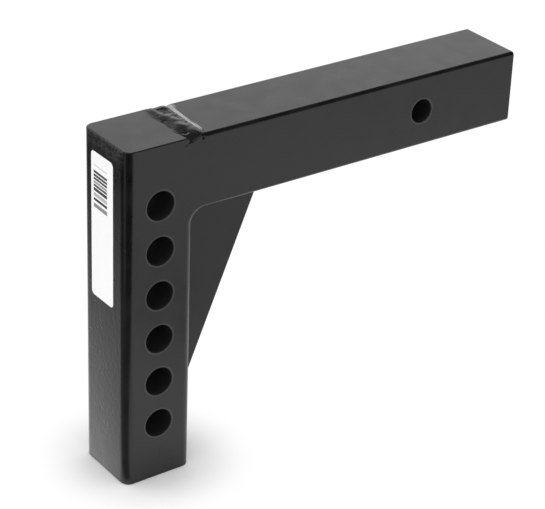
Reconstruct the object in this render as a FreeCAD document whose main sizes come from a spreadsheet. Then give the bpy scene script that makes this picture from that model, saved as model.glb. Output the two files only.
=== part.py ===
import FreeCAD, Part
import os
import Sketcher
from FreeCAD import Rotation, Vector

# Shank of a weight distribution hitch, an L of two solid steel bars in millimetres.
# The receiver bar slides into the vehicle's receiver and takes the hitch pin. The upright
# is welded to its end and carries a row of bolt holes, in which the ball mount is bolted
# at the height that the trailer needs. A gusset plate stiffens the inner corner.
# The origin is the middle of the hitch pin hole. +X points to the receiver bar's free end,
# +Y along the hitch pin and +Z up.

SIZES = (
    ("bar_width", 50.8, "width of both bars along the hitch pin, 2 in"),
    ("bar_height", 50.8, "height of the receiver bar, 2 in"),
    ("bar_length", 260.35, "receiver bar from the upright to its free end, 10-1/4 in"),
    ("bar_edge_radius", 2.4, "rolled long edges of the receiver bar"),
    ("bar_end_radius", 0.8, "rounded rim of the receiver bar's free end"),
    ("pin_hole_diameter", 16.67, "hole for the 5/8 in hitch pin"),
    ("pin_hole_setback", 79.375, "pin hole to the free end, 3-1/8 in"),
    ("upright_depth", 50.8, "upright from its front to its back face, 2 in"),
    ("upright_height", 241.3, "length of the upright, 9-1/2 in"),
    ("upright_edge_radius", 6.35, "rolled long edges of the upright, 1/4 in"),
    ("saw_edge_break", 0.6, "deburred rims of the upright's sawn ends"),
    ("bolt_hole_diameter", 19.84, "hole for a 3/4 in bolt"),
    ("bolt_hole_pitch", 31.75, "spacing of the bolt holes, 1-1/4 in"),
    ("bolt_hole_count", 6, "bolt holes in the upright"),
    ("first_hole_drop", 41.275, "top face to the first bolt hole, 1-5/8 in"),
    ("hole_edge_break", 0.4, "broken rims of the drilled holes"),
    ("bevel", 6.35, "weld bevel on the receiver bar's sides and underside"),
    ("top_bevel_upright", 6.35, "weld bevel on top of the upright"),
    ("top_bevel_near", 7.9, "weld bevel on top of the receiver bar at its near side"),
    ("top_bevel_far", 13.0, "the same bevel at the far side, where it is wider"),
    ("top_weld_drop", 2.2, "how far the top weld falls short of the receiver bar's top"),
    ("top_weld_radius", 40.0, "crown of the top weld"),
    ("corner_weld_radius", 8.0, "hollow of the inner corner weld between the edges"),
    ("corner_weld_flare", 12.0, "hollow of the inner corner weld at the bars' sides"),
    ("gusset_thickness", 12.7, "gusset plate, 1/2 in"),
    ("gusset_run", 63.5, "gusset along the receiver bar, 2-1/2 in"),
    ("gusset_drop", 152.4, "gusset down the upright, 6 in"),
    ("gusset_nose", 3.2, "blunt width of the gusset's two tips"),
    ("gusset_clip", 12.7, "clipped inner corner of the gusset"),
    ("gusset_weld_leg", 6.35, "legs of the fillet welds along the gusset"),
    ("label_width", 25.4, "label across the upright's front, 1 in"),
    ("label_height", 101.6, "label down the upright's front, 4 in"),
    ("label_corner_radius", 3.0, "label corners"),
    ("label_thickness", 0.15, "label stock"),
    ("label_drop", 12.2, "top face to the label's upper edge"),
    ("label_offset", 2.2, "label's middle towards the far side"),
)

HALF_WIDTH = "sizes.bar_width / 2"
TOP_Z = "sizes.bar_height / 2"
UNDER_Z = "-sizes.bar_height / 2"
BACK_X = "sizes.pin_hole_setback - sizes.bar_length"
FRONT_X = f"{BACK_X} - sizes.upright_depth"
TOP_BEVEL_MAX = "max(sizes.top_bevel_upright; sizes.top_bevel_near; sizes.top_bevel_far)"
NOSE_RUN = "sizes.gusset_run * (1 - sizes.gusset_nose / sizes.gusset_drop)"
NOSE_DROP = "sizes.gusset_drop * (1 - sizes.gusset_nose / sizes.gusset_run)"
SMALL = 1e-4

doc = FreeCAD.newDocument("hitch_shank")


def make_sheet():
    sheet = doc.addObject("Spreadsheet::Sheet", "sizes")
    for row, (alias, size, meaning) in enumerate(SIZES, start=1):
        sheet.set(f"A{row}", meaning)
        sheet.set(f"B{row}", str(size))
        sheet.setAlias(f"B{row}", alias)
    doc.recompute()
    return sheet


sheet = make_sheet()


def number(expression):
    """The value of an expression of the sheet's sizes."""
    value = sheet.evalExpression(expression)
    return float(getattr(value, "Value", value))


def same(first, second):
    return abs(first - second) < SMALL


def bind(part, **expressions):
    for name, expression in expressions.items():
        part.setExpression(name, expression)


def place(part, x="0", y="0", z="0"):
    """Bind a sub-part's place to expressions of the sheet's sizes."""
    for axis, expression in (("x", x), ("y", y), ("z", z)):
        part.setExpression(f"Placement.Base.{axis}", expression)
    doc.recompute()


# Sketches and features


def new_body(name):
    body = doc.addObject("PartDesign::Body", name)
    body.Label = name
    return body


def new_sketch(body, name, plane, lift="0"):
    """A sketch on one of the body's own origin planes, lifted off it along its normal."""
    sketch = body.newObject("Sketcher::SketchObject", f"{body.Name}_{name}")
    support = next(item for item in body.Origin.OriginFeatures if item.Role == plane)
    sketch.AttachmentSupport = [(support, "")]
    sketch.MapMode = "FlatFace"
    sketch.setExpression("AttachmentOffset.Base.z", lift)
    return sketch


def bind_point(sketch, edge, point, x, y):
    for kind, expression in (("DistanceX", x), ("DistanceY", y)):
        rule = Sketcher.Constraint(kind, -1, 1, edge, point, number(expression))
        index = sketch.addConstraint(rule)
        sketch.setExpression(f"Constraints[{index}]", expression)


def draw_polygon(sketch, corners):
    """A closed outline whose corners are pairs of expressions."""
    points = [Vector(number(x), number(y), 0) for x, y in corners]
    ends = points[1:] + points[:1]
    for start, end in zip(points, ends):
        sketch.addGeometry(Part.LineSegment(start, end), False)
    for edge in range(len(corners)):
        following = (edge + 1) % len(corners)
        sketch.addConstraint(Sketcher.Constraint("Coincident", edge, 2, following, 1))
    for edge, (x, y) in enumerate(corners):
        bind_point(sketch, edge, 1, x, y)
    doc.recompute()


def draw_rectangle(sketch, left, right, low, high):
    draw_polygon(sketch, [(left, low), (right, low), (right, high), (left, high)])


def draw_circle(sketch, x, y, diameter):
    middle = Vector(number(x), number(y), 0)
    radius = number(diameter) / 2
    sketch.addGeometry(Part.Circle(middle, Vector(0, 0, 1), radius), False)
    bind_point(sketch, 0, 3, x, y)
    index = sketch.addConstraint(Sketcher.Constraint("Diameter", 0, 2 * radius))
    sketch.setExpression(f"Constraints[{index}]", diameter)
    doc.recompute()


def pad(body, sketch, length, both_ways=False, backwards=False):
    feature = body.newObject("PartDesign::Pad", f"{sketch.Name}_pad")
    feature.Profile = sketch
    feature.SideType = "Symmetric" if both_ways else "One side"
    feature.Reversed = backwards
    feature.setExpression("Length", length)
    doc.recompute()
    return feature


def cut_through(body, sketch):
    """A pocket right through the body, to both sides of its sketch."""
    before = body.Shape.Volume
    feature = body.newObject("PartDesign::Pocket", f"{sketch.Name}_pocket")
    feature.Profile = sketch
    feature.SideType = "Symmetric"
    feature.Type = "ThroughAll"
    doc.recompute()
    if body.Shape.Volume > before - SMALL:
        raise RuntimeError(f"{feature.Name} cuts nothing")
    return feature


def edges_where(body, wanted):
    """Names of the edges of the body's last feature that answer to a test."""
    edges = body.Tip.Shape.Edges
    return [f"Edge{index}" for index, edge in enumerate(edges, start=1) if wanted(edge)]


def dress_edges(body, kind, name, wanted, **expressions):
    """A Fillet or Chamfer on the chosen edges of the body's last feature."""
    base = body.Tip
    edges = edges_where(body, wanted)
    if not edges:
        raise RuntimeError(f"{body.Name} has no edges for {name}")
    feature = body.newObject(f"PartDesign::{kind}", f"{body.Name}_{name}")
    feature.Base = (base, edges)
    bind(feature, **expressions)
    doc.recompute()
    return feature


def runs_along(edge, axis):
    """True for a straight edge that lies along one axis of its body."""
    if not isinstance(edge.Curve, Part.Line):
        return False
    return same(abs(edge.Curve.Direction.dot(axis)), 1)


def lies_at(edge, axis, level):
    """True for an edge whose every end and middle has one coordinate in common."""
    middle = edge.valueAt((edge.FirstParameter + edge.LastParameter) / 2)
    points = [vertex.Point for vertex in edge.Vertexes] + [middle]
    return all(same(point.dot(axis), level) for point in points)


def is_hole_rim(edge, diameter, half_width):
    """True for the rim of a hole along Y where it opens in a side face."""
    if not isinstance(edge.Curve, Part.Circle):
        return False
    middle = edge.Curve.Center
    return same(edge.Curve.Radius, diameter / 2) and same(abs(middle.y), half_width)


X_AXIS = Vector(1, 0, 0)
Y_AXIS = Vector(0, 1, 0)
Z_AXIS = Vector(0, 0, 1)


def break_hole_rims(body, diameter):
    half_width = number(HALF_WIDTH)
    size = number(diameter)
    dress_edges(
        body,
        "Chamfer",
        "rims",
        lambda edge: is_hole_rim(edge, size, half_width),
        Size="sizes.hole_edge_break",
    )


# The two bars


def make_upright_bar():
    """Local frame: X from the front to the back face, Z down from the top face."""
    body = new_body("upright_bar")
    place(body, x=FRONT_X, z=TOP_Z)

    section = new_sketch(body, "section", "XY_Plane")
    draw_rectangle(section, "0", "sizes.upright_depth", f"-{HALF_WIDTH}", HALF_WIDTH)
    pad(body, section, "sizes.upright_height", backwards=True)
    dress_edges(
        body,
        "Fillet",
        "rolled_edges",
        lambda edge: runs_along(edge, Z_AXIS),
        Radius="sizes.upright_edge_radius",
    )
    break_saw_edges(body)

    groove = new_sketch(body, "weld_groove", "XZ_Plane")
    groove_front = "sizes.upright_depth - sizes.top_bevel_upright"
    draw_polygon(
        groove,
        [
            (groove_front, "0"),
            ("sizes.upright_depth", "0"),
            ("sizes.upright_depth", "-sizes.top_bevel_upright"),
        ],
    )
    cut_through(body, groove)

    bolt_hole = new_sketch(body, "bolt_hole", "XZ_Plane")
    hole_x = "sizes.upright_depth / 2"
    draw_circle(bolt_hole, hole_x, "-sizes.first_hole_drop", "sizes.bolt_hole_diameter")
    first_hole = cut_through(body, bolt_hole)

    holes = body.newObject("PartDesign::LinearPattern", "bolt_hole_row")
    holes.Originals = [first_hole]
    down = next(item for item in body.Origin.OriginFeatures if item.Role == "Z_Axis")
    holes.Direction = (down, [""])
    holes.Reversed = True
    holes.Mode = "Spacing"
    bind(holes, Offset="sizes.bolt_hole_pitch", Occurrences="sizes.bolt_hole_count")
    body.Tip = holes
    doc.recompute()
    break_hole_rims(body, "sizes.bolt_hole_diameter")
    return body


def break_saw_edges(body):
    height = number("sizes.upright_height")
    dress_edges(
        body,
        "Chamfer",
        "sawn_ends",
        lambda edge: lies_at(edge, Z_AXIS, 0) or lies_at(edge, Z_AXIS, -height),
        Size="sizes.saw_edge_break",
    )


def make_receiver_bar():
    """Local frame: X from the upright's back face, Z from the bar's middle."""
    body = new_body("receiver_bar")
    place(body, x=BACK_X)

    section = new_sketch(body, "section", "YZ_Plane")
    draw_rectangle(section, f"-{HALF_WIDTH}", HALF_WIDTH, UNDER_Z, TOP_Z)
    pad(body, section, "sizes.bar_length")
    dress_edges(
        body,
        "Fillet",
        "rolled_edges",
        lambda edge: runs_along(edge, X_AXIS),
        Radius="sizes.bar_edge_radius",
    )
    length = number("sizes.bar_length")
    dress_edges(
        body,
        "Fillet",
        "end_rim",
        lambda edge: lies_at(edge, X_AXIS, length),
        Radius="sizes.bar_end_radius",
    )

    under_bevel = new_sketch(body, "under_bevel", "XZ_Plane")
    draw_bevel(under_bevel, UNDER_Z, f"{UNDER_Z} + sizes.bevel")
    cut_through(body, under_bevel)
    for side, sign in (("near", "-"), ("far", "")):
        side_bevel = new_sketch(body, f"{side}_bevel", "XY_Plane")
        edge_y = f"{sign}({HALF_WIDTH})"
        root_y = f"{sign}({HALF_WIDTH} - sizes.bevel)"
        draw_bevel(side_bevel, edge_y, root_y)
        cut_through(body, side_bevel)
    bevel_top(body)

    pin_hole = new_sketch(body, "pin_hole", "XZ_Plane")
    hole_x = "sizes.bar_length - sizes.pin_hole_setback"
    draw_circle(pin_hole, hole_x, "0", "sizes.pin_hole_diameter")
    cut_through(body, pin_hole)
    break_hole_rims(body, "sizes.pin_hole_diameter")
    return body


def draw_bevel(sketch, edge, root):
    """The triangle that a 45 degree bevel takes off the bar's joint end."""
    draw_polygon(sketch, [("0", edge), ("sizes.bevel", edge), ("0", root)])


def bevel_top(body):
    """The top bevel is askew: its plane runs back from the near to the far side."""
    near = "sizes.top_bevel_near"
    far = "sizes.top_bevel_far"
    skew = f"atan(({far} - {near}) / sizes.bar_width)"
    bevel = new_sketch(body, "top_bevel", "XZ_Plane")
    bevel.AttachmentOffset = FreeCAD.Placement(Vector(), Rotation(Y_AXIS, 1))
    bevel.setExpression("AttachmentOffset.Rotation.Angle", f"-{skew}")
    edge_x = f"({near} + {far}) / 2 * cos({skew})"
    reach = f"({near} + {far})"
    draw_polygon(
        bevel,
        [
            (f"{edge_x} - {reach}", TOP_Z),
            (f"{edge_x} - {reach}", f"{TOP_Z} - {reach}"),
            (edge_x, TOP_Z),
        ],
    )
    cut_through(body, bevel)


# The welds of the butt joint: each fills a block of the joint that the bars leave free


def joint_block(name, front, back, near, far, low, high):
    """A box of the joint, measured from the upright's back face at mid-width."""
    block = doc.addObject("Part::Box", f"{name}_block")
    bind(
        block,
        Length=f"({back}) - ({front})",
        Width=f"({far}) - ({near})",
        Height=f"({high}) - ({low})",
    )
    place(block, x=f"{BACK_X} + ({front})", y=near, z=low)
    return block


def cut(name, base, tool):
    result = doc.addObject("Part::Cut", name)
    result.Base = base
    result.Tool = tool
    result.Label = name
    doc.recompute()
    return result


def make_top_groove_weld(bars):
    """A crowned bead, a little proud of the upright and short of the receiver bar's top."""
    blank = new_body("top_groove_weld_blank")
    place(blank, x=BACK_X, z=TOP_Z)
    profile = new_sketch(blank, "profile", "XZ_Plane")
    front = "-sizes.top_bevel_upright"
    back = "max(sizes.top_bevel_near; sizes.top_bevel_far)"
    drop = "-sizes.top_weld_drop"
    root = f"-{TOP_BEVEL_MAX}"
    corners = [(back, drop), (back, root), (front, root), (front, "0")]
    points = [Vector(number(x), number(z), 0) for x, z in corners]
    radius = number("sizes.top_weld_radius")
    profile.addGeometry(arc_over(points[3], points[0], radius), False)
    for start, end in zip(points, points[1:]):
        profile.addGeometry(Part.LineSegment(start, end), False)
    for edge, following in ((0, 1), (1, 2), (2, 3)):
        end = 1 if edge == 0 else 2
        profile.addConstraint(Sketcher.Constraint("Coincident", edge, end, following, 1))
    profile.addConstraint(Sketcher.Constraint("Coincident", 3, 2, 0, 2))
    for edge, (x, z) in enumerate(corners[:3], start=1):
        bind_point(profile, edge, 1, x, z)
    bind_point(profile, 3, 2, front, "0")
    index = profile.addConstraint(Sketcher.Constraint("Radius", 0, radius))
    profile.setExpression(f"Constraints[{index}]", "sizes.top_weld_radius")
    doc.recompute()
    pad(blank, profile, "sizes.bar_width", both_ways=True)
    return cut("top_groove_weld", blank, bars)


def arc_over(left, right, radius):
    """The flat arc that bulges upwards between two points."""
    chord = right - left
    half = chord.Length / 2
    rise = radius - (radius * radius - half * half) ** 0.5
    upwards = Vector(-chord.y, chord.x, 0).normalize()
    return Part.Arc(left, left + chord * 0.5 + upwards * rise, right)


def make_side_groove_weld(name, near, far, bars):
    """Ground flush with the sides of both bars."""
    block = joint_block(
        name,
        "-sizes.upright_edge_radius",
        "sizes.bevel",
        near,
        far,
        f"{UNDER_Z} + sizes.bevel",
        f"{TOP_Z} - {TOP_BEVEL_MAX}",
    )
    return cut(name, block, bars)


def make_inner_corner_weld(bars):
    """Hollow weld under the bar, whose ends are ground out wider at the bars' sides."""
    flare_depth = "(sizes.corner_weld_flare - sizes.bar_edge_radius)"
    block = joint_block(
        "inner_corner_weld",
        "-sizes.upright_edge_radius",
        "max(sizes.bevel; sizes.corner_weld_radius)",
        f"-{HALF_WIDTH}",
        HALF_WIDTH,
        f"{UNDER_Z} - min(sizes.corner_weld_radius; {flare_depth})",
        f"{UNDER_Z} + sizes.bevel",
    )
    filled = cut("inner_corner_weld_filled", block, bars)

    middle = ("sizes.corner_weld_radius", "sizes.corner_weld_radius", "sizes.corner_weld_radius")
    flare = (
        "sizes.corner_weld_flare",
        "sizes.corner_weld_flare - sizes.upright_edge_radius",
        flare_depth,
    )
    inner_y = f"({HALF_WIDTH} - sizes.upright_edge_radius)"
    stations = (
        ("near_flare", flare, f"-{HALF_WIDTH}"),
        ("near_middle", middle, f"-{inner_y}"),
        ("far_middle", middle, inner_y),
        ("far_flare", flare, HALF_WIDTH),
    )
    circles = []
    for name, (radius, back, drop), y in stations:
        circle = doc.addObject("Part::Circle", f"corner_weld_{name}")
        circle.Placement = FreeCAD.Placement(Vector(), Rotation(X_AXIS, 90))
        circle.setExpression("Radius", radius)
        place(circle, x=f"{BACK_X} + {back}", y=y, z=f"{UNDER_Z} - {drop}")
        circles.append(circle)
    hollow = doc.addObject("Part::Loft", "corner_weld_hollow")
    hollow.Sections = circles
    hollow.Solid = True
    hollow.Ruled = True
    doc.recompute()
    return cut("inner_corner_weld", filled, hollow)


# The gusset and its fillet welds


def make_gusset_plate():
    """Local frame: X along the bar's underside and Z down the upright's back face."""
    body = new_body("gusset_plate")
    place(body, x=BACK_X, z=UNDER_Z)
    outline = new_sketch(body, "outline", "XZ_Plane")
    draw_polygon(
        outline,
        [
            ("sizes.gusset_clip", "0"),
            (NOSE_RUN, "0"),
            (NOSE_RUN, "-sizes.gusset_nose"),
            ("sizes.gusset_nose", f"-{NOSE_DROP}"),
            ("0", f"-{NOSE_DROP}"),
            ("0", "-sizes.gusset_clip"),
        ],
    )
    pad(body, outline, "sizes.gusset_thickness", both_ways=True)
    return body


def make_gusset_bar_weld(side, sign):
    """Fillet weld between the plate and the bar's underside."""
    body = new_body(f"gusset_bar_weld_{side}")
    face_y = f"{sign}(sizes.gusset_thickness / 2)"
    toe_y = f"{sign}(sizes.gusset_thickness / 2 + sizes.gusset_weld_leg)"
    profile = new_sketch(body, "profile", "YZ_Plane")
    draw_polygon(profile, [(face_y, "0"), (toe_y, "0"), (face_y, "-sizes.gusset_weld_leg")])
    pad(body, profile, f"{NOSE_RUN} - sizes.gusset_clip")
    place(body, x=f"{BACK_X} + sizes.gusset_clip", z=UNDER_Z)
    return body


def make_gusset_upright_weld(side, sign):
    """Fillet weld between the plate and the upright's back face."""
    body = new_body(f"gusset_upright_weld_{side}")
    face_y = f"{sign}(sizes.gusset_thickness / 2)"
    toe_y = f"{sign}(sizes.gusset_thickness / 2 + sizes.gusset_weld_leg)"
    profile = new_sketch(body, "profile", "XY_Plane")
    draw_polygon(profile, [("0", face_y), ("0", toe_y), ("sizes.gusset_weld_leg", face_y)])
    pad(body, profile, f"{NOSE_DROP} - sizes.gusset_clip", backwards=True)
    place(body, x=BACK_X, z=f"{UNDER_Z} - sizes.gusset_clip")
    return body


def make_label():
    """Local frame: X out of the upright's front face, Z down from the label's top."""
    body = new_body("label")
    place(body, x=FRONT_X, y="sizes.label_offset", z=f"{TOP_Z} - sizes.label_drop")
    outline = new_sketch(body, "outline", "YZ_Plane")
    half = "sizes.label_width / 2"
    draw_rectangle(outline, f"-{half}", half, "-sizes.label_height", "0")
    pad(body, outline, "sizes.label_thickness", backwards=True)
    dress_edges(
        body,
        "Fillet",
        "corners",
        lambda edge: runs_along(edge, X_AXIS),
        Radius="sizes.label_corner_radius",
    )
    return body


def make_parts():
    upright = make_upright_bar()
    receiver = make_receiver_bar()
    bars = doc.addObject("Part::MultiFuse", "both_bars")
    bars.Shapes = [upright, receiver]
    doc.recompute()

    weld_width = "max(sizes.upright_edge_radius; sizes.bevel)"
    near_root = f"-{HALF_WIDTH} + {weld_width}"
    far_root = f"{HALF_WIDTH} - {weld_width}"
    parts = [
        upright,
        receiver,
        make_top_groove_weld(bars),
        make_side_groove_weld("near_groove_weld", f"-{HALF_WIDTH}", near_root, bars),
        make_side_groove_weld("far_groove_weld", far_root, HALF_WIDTH, bars),
        make_inner_corner_weld(bars),
        make_gusset_plate(),
        make_label(),
    ]
    for side, sign in (("near", "-"), ("far", "")):
        parts.append(make_gusset_bar_weld(side, sign))
        parts.append(make_gusset_upright_weld(side, sign))
    return parts


def check_document():
    for item in doc.Objects:
        if "Invalid" in item.State or "Error" in item.State:
            raise RuntimeError(f"{item.Name} failed: {item.State}")


def write_parts(parts):
    os.makedirs("parts", exist_ok=True)
    for part in parts:
        shape = part.Shape
        if shape.isNull() or not shape.isValid() or not shape.Solids:
            raise RuntimeError(f"{part.Label} has no valid solid")
        shape.exportStep(f"parts/{part.Label}.step")
        box = shape.BoundBox
        print(
            f"{part.Label}: {len(shape.Solids)} solid, {shape.Volume / 1000:.2f} cm3, "
            f"X {box.XMin:.2f} to {box.XMax:.2f}, Y {box.YMin:.2f} to {box.YMax:.2f}, "
            f"Z {box.ZMin:.2f} to {box.ZMax:.2f}"
        )


parts = make_parts()
doc.recompute()
check_document()
write_parts(parts)
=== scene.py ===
"""Dresses the hitch shank: black powder coat on the bars, rough welds and a paper label."""

import math

import bmesh
import bpy
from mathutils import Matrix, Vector, noise


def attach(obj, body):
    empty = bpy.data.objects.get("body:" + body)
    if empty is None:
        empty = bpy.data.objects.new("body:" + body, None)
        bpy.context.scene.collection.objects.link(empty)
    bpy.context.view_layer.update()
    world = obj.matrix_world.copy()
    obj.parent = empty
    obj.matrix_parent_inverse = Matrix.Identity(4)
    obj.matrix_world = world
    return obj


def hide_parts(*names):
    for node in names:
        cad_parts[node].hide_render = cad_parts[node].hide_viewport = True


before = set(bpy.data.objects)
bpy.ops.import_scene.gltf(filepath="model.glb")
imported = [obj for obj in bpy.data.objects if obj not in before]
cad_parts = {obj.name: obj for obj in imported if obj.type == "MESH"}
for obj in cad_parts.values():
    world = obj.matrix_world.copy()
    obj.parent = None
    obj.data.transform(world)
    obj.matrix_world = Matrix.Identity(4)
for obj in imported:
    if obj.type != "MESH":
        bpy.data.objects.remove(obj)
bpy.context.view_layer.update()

MM = 0.001

# Lengths of the shank in millimetres, in its own frame: the origin is in the middle of the pin
# hole, X runs to the free end of the receiver bar, Y to the far side and Z up.
HALF_WIDTH = 25.4
TOP_Z = 25.4
UNDER_Z = -25.4
FLOOR_Z = -215.9
UPRIGHT_FRONT_X = -231.775
UPRIGHT_BACK_X = -180.975
# The radius of the bars' long edges, and half the width of the flat between two of them
UPRIGHT_EDGE_RADIUS = 6.35
UPRIGHT_FLAT_HALF = 19.05
RECEIVER_EDGE_RADIUS = 2.4
RECEIVER_FLAT_HALF = 23.0
GUSSET_HALF_THICKNESS = 6.35
# X of the edges of the top weld's groove: the upright's, and the receiver bar's, where its bevel
# meets its top, at the near and the far side
WELD_LEFT_X = -187.325
BEVEL_NEAR_X = -173.075
BEVEL_FAR_X = -167.975
BOLT_HOLE_X = -206.375
BOLT_HOLE_RADIUS = 9.92
FIRST_BOLT_HOLE_Z = -15.875
BOLT_HOLE_PITCH = 31.75
BOLT_HOLE_COUNT = 6
PIN_HOLE_RADIUS = 8.335


# Camera

# Fitted to the photo: sensor and lens in millimetres, place in metres and angles in degrees
SENSOR_WIDTH = 36.0
LENS = 136.871
CAMERA_PLACE = (-0.83116, -0.98156, 0.56385)
CAMERA_ANGLES = (61.8123, -1.9896, -35.6105)


def make_camera():
    """A camera that sees the shank as the photo does."""
    data = bpy.data.cameras.new("photo_camera")
    data.sensor_width = SENSOR_WIDTH
    data.lens = LENS
    camera = bpy.data.objects.new("photo_camera", data)
    camera.location = CAMERA_PLACE
    camera.rotation_euler = [math.radians(angle) for angle in CAMERA_ANGLES]
    bpy.context.scene.collection.objects.link(camera)
    bpy.context.scene.camera = camera


# Shader nodes


def add(tree, kind, inputs=None, **options):
    """Adds a node, sets its options and gives each named input a value or a link."""
    node = tree.nodes.new(kind)
    for option, value in options.items():
        setattr(node, option, value)
    for socket, value in (inputs or {}).items():
        if isinstance(value, bpy.types.NodeSocket):
            tree.links.new(value, node.inputs[socket])
        else:
            node.inputs[socket].default_value = value
    return node


def calculate(tree, operation, *values, clamp=False):
    inputs = dict(enumerate(values))
    return add(tree, "ShaderNodeMath", inputs, operation=operation, use_clamp=clamp).outputs[0]


def product(tree, first, *factors):
    for factor in factors:
        first = calculate(tree, "MULTIPLY", first, factor)
    return first


def largest(tree, first, *values):
    for value in values:
        first = calculate(tree, "MAXIMUM", first, value)
    return first


def calculate_vector(tree, operation, first, second):
    """The vector that the operation gives, or the value if it gives one."""
    node = add(tree, "ShaderNodeVectorMath", {0: first, 1: second}, operation=operation)
    return node.outputs["Value" if operation in ("DOT_PRODUCT", "DISTANCE") else "Vector"]


def split(tree, place):
    """X, Y and Z of a place."""
    return add(tree, "ShaderNodeSeparateXYZ", {"Vector": place}).outputs


def blend_values(tree, share, low, high):
    """Goes from low to high as share goes from 0 to 1."""
    inputs = {"Value": share, "To Min": low, "To Max": high}
    return add(tree, "ShaderNodeMapRange", inputs).outputs[0]


def fade(tree, value, start, end):
    """0 at start and 1 at end, smooth in between."""
    inputs = {"Value": value, "From Min": start, "From Max": end}
    return add(tree, "ShaderNodeMapRange", inputs, interpolation_type="SMOOTHSTEP").outputs[0]


def fade_over(tree, value, span):
    """0 at the start of a span in millimetres and 1 at its end."""
    start, end = span
    return fade(tree, value, start * MM, end * MM)


def grain(tree, place, size, detail=2.0):
    """Noise from 0 to 1 whose lumps are about size millimetres across."""
    inputs = {"Vector": place, "Scale": 1.0 / (size * MM), "Detail": detail}
    return add(tree, "ShaderNodeTexNoise", inputs).outputs["Fac"]


def grey(level):
    return (level, level, level, 1.0)


def mix_colours(tree, share, first, second):
    """Goes from the first colour to the second as share goes from 0 to 1."""
    node = add(tree, "ShaderNodeMix", {0: share, 6: first, 7: second}, data_type="RGBA")
    return node.outputs[2]


def new_group(name, inputs, outputs):
    """A node group, with what it is given and what it makes. Inputs are (name, kind, value)."""
    group = bpy.data.node_groups.new(name, "ShaderNodeTree")
    for label, kind, value in inputs:
        socket = group.interface.new_socket(label, in_out="INPUT", socket_type=kind)
        if value is not None:
            socket.default_value = value
    for label in outputs:
        group.interface.new_socket(label, in_out="OUTPUT", socket_type="NodeSocketFloat")
    given = group.nodes.new("NodeGroupInput").outputs
    made = group.nodes.new("NodeGroupOutput").inputs
    return group, given, made


def use_group(tree, group, inputs):
    return add(tree, "ShaderNodeGroup", inputs, node_tree=group).outputs


# The powder's skin: how large the lumps of its peel, its grit and its mottling are in millimetres,
# and the span of noise over which the mottling turns
PEEL_SIZE = 2.4
GRIT_SIZE = 0.7
MOTTLE_SIZE = 14.0
MOTTLE_SPAN = (0.3, 0.7)


def make_powder_skin():
    """The fine skin of baked powder: a height for its peel, and a slow mottling of its gloss."""
    group, given, made = new_group(
        "powder_skin",
        [
            ("Place", "NodeSocketVector", None),
            ("Grit", "NodeSocketFloat", 0.3),
        ],
        ["Height", "Mottle"],
    )
    place = given["Place"]
    peel = grain(group, place, PEEL_SIZE)
    grit = product(group, grain(group, place, GRIT_SIZE, detail=1.0), given["Grit"])
    mottle = fade(group, grain(group, place, MOTTLE_SIZE, detail=3.0), *MOTTLE_SPAN)
    group.links.new(calculate(group, "ADD", peel, grit), made["Height"])
    group.links.new(mottle, made["Mottle"])
    return group


# Round a hole, in millimetres: how far outside its radius and inside the bar's sides the bore's
# coat ends, and the span over which the rim sets in, worn and painted lighter as a highlight
BORE_REACH = 0.3
BORE_DEPTH = 0.35
RIM = (1.5, 0.8)


def make_hole_places():
    """Where the holes along Y are: Inside is 1 in their bores, and Rim is 1 on their worn rims,
    which also get a painted highlight.
    """
    group, given, made = new_group(
        "hole_places",
        [
            ("Place", "NodeSocketVector", None),
            ("Centre X", "NodeSocketFloat", 0.0),
            ("Centre Z", "NodeSocketFloat", 0.0),
            ("Pitch", "NodeSocketFloat", 1.0),
            ("Last", "NodeSocketFloat", 0.0),
            ("Radius", "NodeSocketFloat", 0.01),
        ],
        ["Inside", "Rim"],
    )
    axes = split(group, given["Place"])
    across = calculate(group, "SUBTRACT", axes["X"], given["Centre X"])
    below_first = calculate(group, "SUBTRACT", given["Centre Z"], axes["Z"])
    steps = calculate(group, "ROUND", calculate(group, "DIVIDE", below_first, given["Pitch"]))
    hole = calculate(group, "MINIMUM", largest(group, steps, 0.0), given["Last"])
    below = calculate(group, "SUBTRACT", below_first, product(group, hole, given["Pitch"]))
    squares = calculate(group, "ADD", product(group, across, across), product(group, below, below))
    outside = calculate(group, "SUBTRACT", calculate(group, "SQRT", squares), given["Radius"])
    near = calculate(group, "LESS_THAN", outside, BORE_REACH * MM)
    from_middle = calculate(group, "ABSOLUTE", axes["Y"])
    deep = calculate(group, "LESS_THAN", from_middle, (HALF_WIDTH - BORE_DEPTH) * MM)
    group.links.new(product(group, near, deep), made["Inside"])
    group.links.new(fade_over(group, outside, RIM), made["Rim"])
    return group


# Materials


def new_material(name):
    """An empty material, its node tree, and the place of a point in the shank's frame."""
    material = bpy.data.materials.new(name)
    material.use_nodes = True
    tree = material.node_tree
    tree.nodes.clear()
    place = tree.nodes.new("ShaderNodeTexCoord").outputs["Object"]
    return material, tree, place


def show(tree, shader):
    """Puts a shader on the material's surface."""
    output = tree.nodes.new("ShaderNodeOutputMaterial")
    tree.links.new(shader.outputs[0], output.inputs["Surface"])


def finish_coat(tree, colour, roughness, normal):
    inputs = {"Base Color": colour, "Roughness": roughness, "Normal": normal}
    show(tree, add(tree, "ShaderNodeBsdfPrincipled", inputs))


def bump(tree, height, relief):
    """A normal for a height, of which 1 stands for relief millimetres."""
    inputs = {"Distance": relief * MM, "Height": height}
    return add(tree, "ShaderNodeBump", inputs).outputs["Normal"]


COAT_BLACK = (0.0040, 0.0040, 0.0042, 1.0)
COAT_WORN = (0.0070, 0.0070, 0.0073, 1.0)
# The lighter coat of the rubbed scuffs, also painted round the holes' rims as a painted highlight
COAT_RUBBED_AND_SHEEN = (0.0360, 0.0360, 0.0363, 1.0)
BORE_BLACK = (0.0100, 0.0100, 0.0100, 1.0)
# The roughness of the bores, the sawn edge and the gouge
DULL_ROUGHNESS = 0.8
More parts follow.
